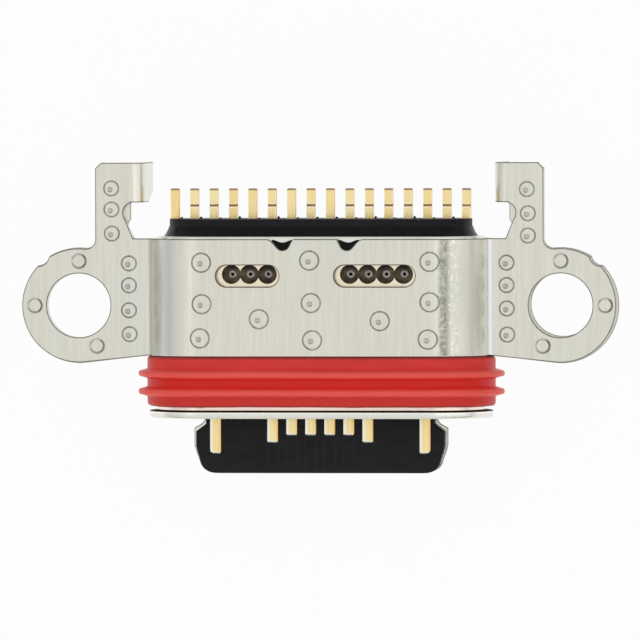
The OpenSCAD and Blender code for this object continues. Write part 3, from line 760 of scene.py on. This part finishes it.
combine(shell, [drill("pin", x, y, PIN_R, *SHELL_CUT) for x, y in pin_places], "DIFFERENCE")
combine(shell, [bleed(-1), bleed(1)], "DIFFERENCE")
smooth(shell, 40)
dress(shell, [shell_steel, collar_gap_shadow], "shell_steel", "shell")

# %% [markdown]
# The seal is a moulded silicone ring with two lips. Silicone leaves the mould with small waves along its
# edges, so the profile drifts by about a hundredth of a millimetre as it goes round; the drift is a sum of
# sines, and so it closes on itself.

# %% Seal ring
seal_r, lip_r = 1.68, 1.915
seal_front, seal_rear = -2.63, -1.32
LIP_INSET, LIP_PITCH, LIP_FOOT, LIP_TIP = 0.46, 0.47, 0.125, 0.06
lip_places = (seal_rear - LIP_INSET, seal_rear - LIP_INSET - LIP_PITCH)


def lip(y):
    return [(seal_r, y + LIP_FOOT, 0.05), (lip_r, y + LIP_TIP, 0.055), (lip_r, y - LIP_TIP, 0.055),
            (seal_r, y - LIP_FOOT, 0.05)]


seal_profile = rounded(
    [(shell_r, seal_rear, 0), (seal_r, seal_rear, 0.09)] + lip(lip_places[0]) + lip(lip_places[1])
    + [(seal_r, seal_front, 0.1), (shell_r, seal_front, 0)], 5)


def silicone_drift(t, r, y):
    free = max(0.0, (r - shell_r) / (lip_r - shell_r))
    wave = sin(2 * pi * 5 * t + 0.7) + 0.7 * sin(2 * pi * 13 * t + 2.1) + 0.4 * sin(2 * pi * 29 * t)
    edge = 1.0 if y < seal_front + 0.12 else 0.35
    return (-0.004 * free * (1 + sin(2 * pi * 7 * t)), 0.010 * edge * free * wave)


seal = oval_sweep("silicone_seal", seal_profile, 64, 60, silicone_drift)
# The lips take the painted highlight.
mark_profile(seal, seal_profile, lambda r, y: r > seal_r + 0.03)
smooth(seal, 60)
dress(seal, [red_silicone, lip_highlight_silicone], "seal_rubber", "seal_ring")

# %% [markdown]
# A bracket is a flat blank bent over the shell. It is made the same way round: the bent sheet first, as a
# long extrusion of its section, and then the blank's outline is cut through it from above.

# %% Bent sheet
BLANK_REAR = 4.8                     # past the ends of the tabs


def half_section(level, steps=28):
    """Right half of the bent sheet's section in x and z, with the shell's axis at z = 0."""
    z_foot = level + sheet + valley_r
    x_foot = end_x + sqrt((hat_out + valley_r) ** 2 - z_foot ** 2)
    lean_angle = asin(z_foot / (hat_out + valley_r)) * 180 / pi
    far = hole_x + ear_r + 1.0
    top = [(far, level + sheet)]
    top += arc((x_foot, z_foot), valley_r, 270, 180 + lean_angle, 14)
    top += arc((end_x, 0), hat_out, lean_angle, 90, steps) + [(-0.5, hat_out)]
    under = [(far, level)]
    under += arc((x_foot, z_foot), valley_r + sheet, 270, 180 + lean_angle, 14)
    under += arc((end_x, 0), hat_in, lean_angle, 90, steps) + [(-0.5, hat_in)]
    return top + under[::-1]


def bent_half(name, level, flip):
    outline = [(x, (-z if flip else z) + axis_z) for x, z in half_section(level)]
    return prism(name, outline, body_front - 1, BLANK_REAR, across_y)


def mirrored(thing):
    """Cut a half off at x = 0 and add its mirror image, joined point to point."""
    with editing(thing.data) as made:
        bmesh.ops.bisect_plane(
            made, geom=everything(made), plane_co=(0, 0, 0), plane_no=(1, 0, 0), clear_inner=True)
        copy = bmesh.ops.duplicate(made, geom=everything(made))["geom"]
        for part in copy:
            if isinstance(part, bmesh.types.BMVert):
                part.co.x = -part.co.x
        bmesh.ops.reverse_faces(made, faces=[part for part in copy if isinstance(part, bmesh.types.BMFace)])
        bmesh.ops.remove_doubles(made, verts=made.verts, dist=1e-5)
        bmesh.ops.dissolve_limit(made, angle_limit=0.002, verts=made.verts, edges=made.edges)


# %% [markdown]
# The blank's outline runs from the straight front edge round the ear, past the little nick where it was
# broken off its carrier strip, up the tab and back along the rear edge. Only the right half is drawn.

# %% Blank outline
front_half, tab_out, tab_rear, stem_in = 4.45, 5.88, 3.73, 4.885
TAB_CORNER, TAB_FILLET = 0.15, 0.25
NICK_ANGLE, NICK_DEPTH, NICK_W = 51.0, 0.08, 0.41
LEG_X, LEG_FRONT, LEG_R, LEG_LENGTH = 4.95, 2.69, 0.36, 1.76
RELIEF_R, RELIEF_FROM, RELIEF_TO = 0.265, 76.7, -41.0
EAR_MORE, TAB_LESS = 0.02, 0.02      # how far the lower blank differs from the upper one
relief = (LEG_X - 0.065, LEG_FRONT - RELIEF_R - 0.01)


def degrees_of(p, centre):
    return atan2(p[1] - centre[1], p[0] - centre[0]) * 180 / pi


def ear_outline(r):
    ear = (hole_x, 0.0)
    corner = (front_half, body_front)
    reach_to = hypot(corner[0] - ear[0], corner[1])
    touch = degrees_of(corner, ear) + acos(r / reach_to) * 180 / pi
    nick_r = ((NICK_W / 2) ** 2 + NICK_DEPTH ** 2) / (2 * NICK_DEPTH)
    nick_far = r - NICK_DEPTH + nick_r
    a = radians(NICK_ANGLE)
    nick = (ear[0] + nick_far * cos(a), ear[1] + nick_far * sin(a))
    spread = acos((r * r + nick_far ** 2 - nick_r ** 2) / (2 * r * nick_far)) * 180 / pi
    fillet = (tab_out + TAB_FILLET, sqrt((r + TAB_FILLET) ** 2 - (hole_x - tab_out - TAB_FILLET) ** 2))
    meet = degrees_of(fillet, ear)
    first = arc(ear, r, NICK_ANGLE - spread, NICK_ANGLE - spread, 1)[0]
    last = arc(ear, r, NICK_ANGLE + spread, NICK_ANGLE + spread, 1)[0]
    dip_from, dip_to = degrees_of(first, nick) % 360, degrees_of(last, nick) % 360
    out = [(0.0, body_front), corner]
    out += arc(ear, r, touch, NICK_ANGLE - spread, 60)
    out += arc(nick, nick_r, dip_from, dip_to, 10)[1:-1]
    out += arc(ear, r, NICK_ANGLE + spread, meet, 30)
    out += arc(fillet, TAB_FILLET, meet - 180, -180, 14)[1:]
    return out


def whole(half):
    return half + [(-u, v) for u, v in reversed(half) if u > 1e-6]


def past_middle(half):
    """Carry a right half a little over the middle, where it is cut off afterwards."""
    return [(-0.3, half[0][1])] + half[1:-1] + [(-0.3, half[-1][1])]


tab_end = [(tab_out, tab_rear - TAB_CORNER), (tab_out - TAB_CORNER, tab_rear)]
relief_cut = arc(relief, RELIEF_R, RELIEF_FROM, RELIEF_TO, 20)
upper_half = (
    ear_outline(ear_r) + tab_end + [(LEG_X, tab_rear), (LEG_X, LEG_FRONT)] + relief_cut
    + [(stem_in, body_rear), (0.0, body_rear)])
lower_half = (
    ear_outline(ear_r + EAR_MORE) + tab_end
    + [(LEG_X + TAB_LESS, tab_rear), (LEG_X + TAB_LESS, 2.25), (LEG_X + 0.098, 2.12)]
    + [(stem_in, body_rear), (0.0, body_rear)])
print("outline points:", len(upper_half), len(lower_half))

# %% [markdown]
# A bracket carries marks: spot welds on its top, its tabs and its flanges, and three locating pips round each
# screw hole, which a punch sheared halfway through the sheet. A face with a hole in its middle can fold over
# itself when it is split into triangles, so the sheet is first scribed with lines that run through the marks.

# %% Marks on the brackets
PIP_R, PIP_DEPTH, PIP_REACH = 0.20, 0.055, 1.16
plateau_welds = [
    (-2.97, 1.14), (-2.96, 0.06), (-3.01, -0.83), (-1.46, -0.33), (-0.14, 1.195), (-0.10, 0.09),
    (-0.07, -0.88), (1.70, -0.38), (3.00, 1.16), (3.00, 0.11), (2.95, -0.86)]
tab_welds = [(-5.455, 3.06), (-5.45, 2.51), (-5.44, 1.88), (5.445, 3.03), (5.47, 2.40), (5.47, 1.82)]
flange_welds = [
    (-4.995, 1.10), (-4.995, 0.525), (-4.995, -0.125), (-4.98, -0.75),
    (4.91, 1.115), (4.91, 0.53), (4.915, -0.08), (4.925, -0.76)]
pip_places = [
    (side * (hole_x + PIP_REACH * cos(radians(a))), PIP_REACH * sin(radians(a)))
    for side in (-1, 1) for a in (90, 0, -114)]
bend_places = [(x, body_front) for x in (-4.25, -3.8, -3.3, 0.0, 3.3, 3.8, 4.25)]


def scribe(thing, places, apart=0.07, aside=0.007):
    """Split the sheet along Y beside each place's middle; places closer than apart share a line."""
    last = -hole_x - 2 * ear_r
    with editing(thing.data) as made:
        for x in sorted(x for x, y in places):
            if x - last >= apart:
                last = x
                bmesh.ops.bisect_plane(
                    made, geom=everything(made), dist=1e-6, plane_co=(x - aside, 0, 0), plane_no=(1, 0, 0))


def pip_dent(x, y, steps=48):
    """A dent with sloping walls whose floor leans, deepest on its right."""
    foot, rim = circle((x, y), PIP_R - 0.05, steps), circle((x, y), PIP_R + 0.04, steps)
    low = [(u, v, sheet - PIP_DEPTH * (0.68 + 0.32 * (u - x) / PIP_R)) for u, v in foot]
    pip = loft("pip", low, [(u, v, sheet + 0.02) for u, v in rim])
    # The walls take painted shade: darker on the pip's right-hand side, softer elsewhere.
    for face in pip.data.polygons:
        if abs(face.normal.z) < 0.95:
            face.material_index = LINE if face.center.x > x + 0.5 * PIP_R else DOT
    return pip


print("welds:", len(plateau_welds + tab_welds + flange_welds), "pips:", len(pip_places))

# %% [markdown]
# The upper bracket: sheet and outline meet, the legs join on, the screw holes, windows and notches are cut, and
# every stamped edge is broken by a small round. In the photograph the sheets don't lie quite true on each other,
# so the right ear is squeezed a little towards its hole. The front round carries a painted highlight.

# %% Upper bracket
WINDOW_H, WINDOW_Y, WINDOW_LEFT, WINDOW_RIGHT = 0.56, 0.79, 0.39, 0.32
UPPER_SPAN, TOP_CUT, EAR_CUT = (-0.5, 3.0), (0.5, 2.0), (-1, 1)   # heights of what is cut through the sheet
TAPER_W, TAPER_H = 0.28, 0.9
EAR_SQUEEZE = 0.972


def slot_outline(x0, x1, y, h, steps=20):
    r = h / 2
    return arc((x1 - r, y), r, -90, 90, steps) + arc((x0 + r, y), r, 90, 270, steps)


def leg():
    bend_z, leg_tip = sheet - LEG_R, -LEG_LENGTH
    section = arc((LEG_X, bend_z), LEG_R, 90, 180, 16)
    section += [(LEG_X - LEG_R, leg_tip), (LEG_X - LEG_R + sheet, leg_tip)]
    section += arc((LEG_X, bend_z), LEG_R - sheet, 180, 90, 12)
    section = [(LEG_X + 0.05, sheet)] + section + [(LEG_X + 0.05, 0.0)]
    made = prism("leg", section, LEG_FRONT, tab_rear, across_y)
    taper = [
        (LEG_FRONT - 0.5, leg_tip + TAPER_H), (LEG_FRONT, leg_tip + TAPER_H), (LEG_FRONT + TAPER_W, leg_tip),
        (LEG_FRONT + TAPER_W, leg_tip - 0.5), (LEG_FRONT - 0.5, leg_tip - 0.5)]
    wedge = prism("taper", taper, 3.0, 7.0, across_x)
    return combine(made, [wedge], "DIFFERENCE")


upper = bent_half("upper_bracket_sheet", -axis_z, False)
combine(upper, [prism("outline", past_middle(upper_half), *UPPER_SPAN, upright)], "INTERSECT")
combine(upper, [leg()], "UNION")
mirrored(upper)
for v in upper.data.vertices:
    if v.co.x > hole_x:
        v.co.x = hole_x + (v.co.x - hole_x) * EAR_SQUEEZE
scribe(upper, [(x + (count - 1) * PIN_PITCH / 2, WINDOW_Y) for x, count in pin_rows])
cutters = [drill("screw", side * hole_x, 0, hole_r, *EAR_CUT, 120) for side in (-1, 1)]
for x, count in pin_rows:
    x0, x1 = x - WINDOW_LEFT, x + (count - 1) * PIN_PITCH + WINDOW_RIGHT
    cutters.append(prism("window", slot_outline(x0, x1, WINDOW_Y, WINDOW_H), *TOP_CUT, upright))
cutters += [prism("notch", notch_outline(side), *TOP_CUT, upright) for side in (-1, 1)]
combine(upper, cutters, "DIFFERENCE")
soften(upper, 0.025, segments=3, finish=EDGE)
baked(upper)
scribe(upper, plateau_welds + tab_welds + flange_welds + pip_places + bend_places)
# Faces of the front round get the painted highlight.
for face in upper.data.polygons:
    at, looks = face.center, face.normal
    if face.material_index == EDGE and looks.y < -0.15 and at.z > 0.3 and at.y < body_front + 0.1:
        face.material_index = FRONT_HIGHLIGHT
    # The window walls get the dark edge skin as painted shade.
    in_window = abs(at.y - WINDOW_Y) < 0.32 and abs(at.x) < 2.7 and at.z > 0.9
    if in_window and abs(looks.z) < 0.3:
        face.material_index = EDGE
print("upper bracket box:", [round(d, 2) for d in upper.dimensions])

# %% [markdown]
# Each spot weld leaves a thin ring pressed into the sheet and a small dot where the electrode's tip stood.
# They are cut as real grooves, after the pips; the grooves carry painted shade and the dots are darker. Some lie at
# the start of the bend, so a ring's points follow the sheet's height.

# %% Spot welds
WIDE_RING, SMALL_RING, RING_GROOVE = 0.245, 0.19, 0.023
DOT_R, DOT_DEPTH, DOT_ASIDE = 0.095, 0.028, (-0.035, -0.03)
BEND_W = 0.8                         # the welds' part of the bend


def sheet_top(x):
    """Height of the upper bracket's top over the plane where the sheets meet."""
    x = abs(x)
    if x <= end_x:
        return hat_out + axis_z
    inside = hat_out ** 2 - (x - end_x) ** 2
    return sqrt(inside) + axis_z if x < end_x + BEND_W else sheet


# The groove takes the painted shade skin.
def weld_ring(x, y, r):
    return torus("ring", x, y, r, RING_GROOVE, lambda u: sheet_top(u) + 0.25 * RING_GROOVE, 48, LINE)


# The dot is painted darker.
def weld_dot(x, y, r, depth):
    rings, around = 5, 16
    points = [(x, y, sheet_top(x) - depth)]
    for i in range(1, rings + 1):
        t = i / rings
        for j in range(around):
            a = 2 * pi * j / around
            u, v = x + r * t * cos(a), y + r * t * sin(a)
            points.append((u, v, sheet_top(u) - depth * (1 - t * t) + 0.012 * t))
    points.append((x, y, sheet_top(x) + 0.04))
    return mesh_object("dot", points, ball_faces(rings, around), DOT)


ring_marks, dot_marks = [], []
for places, r in ((plateau_welds, WIDE_RING), (tab_welds, SMALL_RING), (flange_welds, SMALL_RING)):
    for x, y in places:
        ring_marks.append(weld_ring(x, y, r))
        dot_marks.append(weld_dot(x + DOT_ASIDE[0], y + DOT_ASIDE[1], DOT_R, DOT_DEPTH))
for marks in ([pip_dent(x, y) for x, y in pip_places], ring_marks, dot_marks):
    combine(upper, [joined(marks)], "DIFFERENCE")
smooth(upper, 12)
dress(upper, bracket_skins, "bracket_steel", "upper_bracket")

# %% [markdown]
# The lower bracket is the same idea turned over, without windows, legs or welds. Its ears are a touch larger,
# and so a bright sliver of it shows past the upper one. Its right screw hole lies a little off the upper one's.

# %% Lower bracket
LOWER_SPAN, HOLE_SHIFT = (-3.0, 0.5), (0.05, 0.03)
lower = bent_half("lower_bracket_sheet", axis_z, True)
combine(lower, [prism("outline", past_middle(lower_half), *LOWER_SPAN, upright)], "INTERSECT")
mirrored(lower)
hole_places = [(-hole_x, 0), (hole_x + HOLE_SHIFT[0], HOLE_SHIFT[1])]
combine(lower, [drill("screw", x, y, hole_r, *EAR_CUT, 120) for x, y in hole_places], "DIFFERENCE")
soften(lower, 0.015, finish=EDGE)
baked(lower)
scribe(lower, pip_places + bend_places)
smooth(lower, 12)
dress(lower, [bracket_steel, sheared_edge_and_shade], "bracket_steel", "lower_bracket")

# %% [markdown]
# The other solids are right as they are. A weld modifier joins the points along their edges, a bevel breaks
# the edges, and each gets its own finish.

# %% Solids that stay


def finish_solid(name, skins, edge):
    thing = nodes[name]
    join = thing.modifiers.new("join_points", "WELD")
    join.merge_threshold = 1e-7
    soften(thing, edge * MM, finish=len(skins) - 1)
    thing.data.materials.clear()
    for skin in skins:
        thing.data.materials.append(skin)


finishes = {"tongue_moulding": ([black_plastic], 0.008), "rear_potting": ([potting_gloss], 0.004)}
for row in ("upper", "lower"):
    for i in range(1, 9):
        finishes[f"{row}_contact_{i}"] = ([gold_plate, gold_edge_highlight], 0.028)
    finishes[f"{row}_contact_carrier"] = ([black_plastic], 0.004)
    finishes[f"{row}_ground_plate"] = ([bright_steel], 0.012)
for name, (skins, edge) in finishes.items():
    finish_solid(name, skins, edge)
print("solids that stay:", len(finishes))

# %% [markdown]
# The mid plate is blanked from thin hard steel, and its bare edge runs all the way round the tongue, narrower
# towards the tip. A finer outline lets that edge die out along the rounded corner, and makes a hollow hook of
# the edge that the plug's latch springs behind.

# %% Mid plate
TONGUE_HALF, TIP_Y, MID_T = 3.335, -4.39, 0.15
LATCH_FRONT, LATCH_LENGTH, LATCH_DEPTH, LATCH_SLOPE = 1.17, 1.55, 0.34, 0.25
PLATE_FOOT, PLATE_TAIL, PLATE_REAR = 0.06, 2.58, 0.58
latch_front, latch_rear = TIP_Y + LATCH_FRONT, TIP_Y + LATCH_FRONT + LATCH_LENGTH
plate_tip = [
    (0.0, 0.16), (2.6, 0.16), (3.03, 0.10), (3.10, 0.13), (3.14, 0.18), (3.175, 0.235), (3.205, 0.34), (3.24, 0.44),
    (3.285, 0.55), (TONGUE_HALF - 0.01, 0.70), (TONGUE_HALF, 0.76), (TONGUE_HALF, LATCH_FRONT)]
latch_hook = [(0.04, 0.035), (0.135, 0.08), (0.205, 0.125), (0.255, 0.185), (0.285, 0.24), (0.295, 0.30)]
plate_half = [(u, TIP_Y + v) for u, v in plate_tip]
plate_half += [(TONGUE_HALF - u, latch_front + v) for u, v in latch_hook]
plate_half += [
    (TONGUE_HALF - LATCH_DEPTH, latch_rear - LATCH_SLOPE), (TONGUE_HALF, latch_rear),
    (TONGUE_HALF, PLATE_FOOT - 0.075), (PLATE_TAIL, PLATE_FOOT), (PLATE_TAIL, PLATE_REAR), (0.0, PLATE_REAR)]
plate = prism("mid_plate_sheet", whole(plate_half), axis_z - MID_T / 2, axis_z + MID_T / 2, upright)
soften(plate, 0.02, finish=EDGE)
baked(plate)
smooth(plate, 12)
dress(plate, [bright_steel, sheared_edge_and_shade], "plate_steel", "mid_plate")

# %% [markdown]
# On the photographed port the tongue's tip corners are a hair fuller than the solid's. A thin cheek on each
# side, under the solid's own top, carries the plastic out to that line. A second one fills the root of the hook
# that the plug's latch springs behind.

# %% Tip cheeks
HALF_T, TIP_BEVEL, CHEEKS_REAR = 0.348, 0.16, TIP_Y + 1.6
cheek_line = [
    (3.255, 0.72), (3.245, 0.65), (3.215, 0.53), (3.175, 0.42), (3.145, 0.32), (3.115, 0.22), (3.085, 0.165),
    (3.05, 0.12), (2.99, 0.07), (2.91, 0.03), (2.80, 0.004), (2.60, 0.004), (2.60, 0.3), (3.0, 0.72)]
latch_line = [(3.0, 1.50), (3.0, 1.29), (2.96, 1.30), (2.93, 1.30), (2.93, 1.50)]
side_view = [
    (TIP_Y, -HALF_T + TIP_BEVEL / 2), (TIP_Y + TIP_BEVEL, -HALF_T), (CHEEKS_REAR, -HALF_T),
    (CHEEKS_REAR, HALF_T), (TIP_Y + TIP_BEVEL, HALF_T), (TIP_Y, HALF_T - TIP_BEVEL / 2)]


def cheek(side, line):
    made = prism("cheek", [(side * u, TIP_Y + v) for u, v in line], axis_z - 0.5, axis_z + 0.5, upright)
    slab = prism("slab", [(y, z + axis_z) for y, z in side_view], -4.0, 4.0, across_x)
    return combine(made, [slab], "INTERSECT")


cheeks = joined([cheek(side, line) for line in (cheek_line, latch_line) for side in (1, -1)])
cheeks.name = "tongue_tip_cheeks"
soften(cheeks, 0.012)
baked(cheeks)
smooth(cheeks, 30)
dress(cheeks, [black_plastic], "moulding_plastic")

# %% [markdown]
# Two small things are left to see. A bright ring in the bottom of each core pin hole is a painted highlight, and
# between the tails a little of the black plastic crept out of the mould as flash.

# %% Highlight rings in the pits and flash
PIT_FLOOR = axis_z + mouth_r - 0.01 - 0.2
PIN_RING_R, PIN_RING_T = 0.075, 0.035
TAILS, TAIL_PITCH, TAIL_HALF, REAR_FACE = 16, 0.51, 0.1175, 2.26
FLASH_ASIDE, FLASH_Z = 0.05, axis_z + 0.03


def lump(x, y, z, size, around=12, rings=6):
    points = [(x, y, z - size[2])]
    for i in range(1, rings):
        t = pi * i / rings
        points += [(x + size[0] * sin(t) * cos(2 * pi * j / around), y + size[1] * sin(t) * sin(2 * pi * j / around),
                    z - size[2] * cos(t)) for j in range(around)]
    points.append((x, y, z + size[2]))
    return mesh_object("flash", points, ball_faces(rings - 1, around))


ring_level = PIT_FLOOR + 0.3 * PIN_RING_T
rings = joined([torus("pin_ring", x, y, PIN_RING_R, PIN_RING_T, lambda u: ring_level, 32) for x, y in pin_places])
rings.name = "pit_highlight_rings"
smooth(rings, 60)
dress(rings, [pit_ring_highlight], "moulding_plastic")

flash_places = [(i - (TAILS - 1) / 2) * TAIL_PITCH + TAIL_HALF + FLASH_ASIDE for i in range(TAILS - 1)]
flash = joined([
    lump(x, REAR_FACE, FLASH_Z, (0.04, 0.05 + 0.02 * sin(9 * i), 0.05)) for i, x in enumerate(flash_places)])
flash.name = "moulding_flash"
smooth(flash, 60)
dress(flash, [black_plastic], "moulding_plastic")
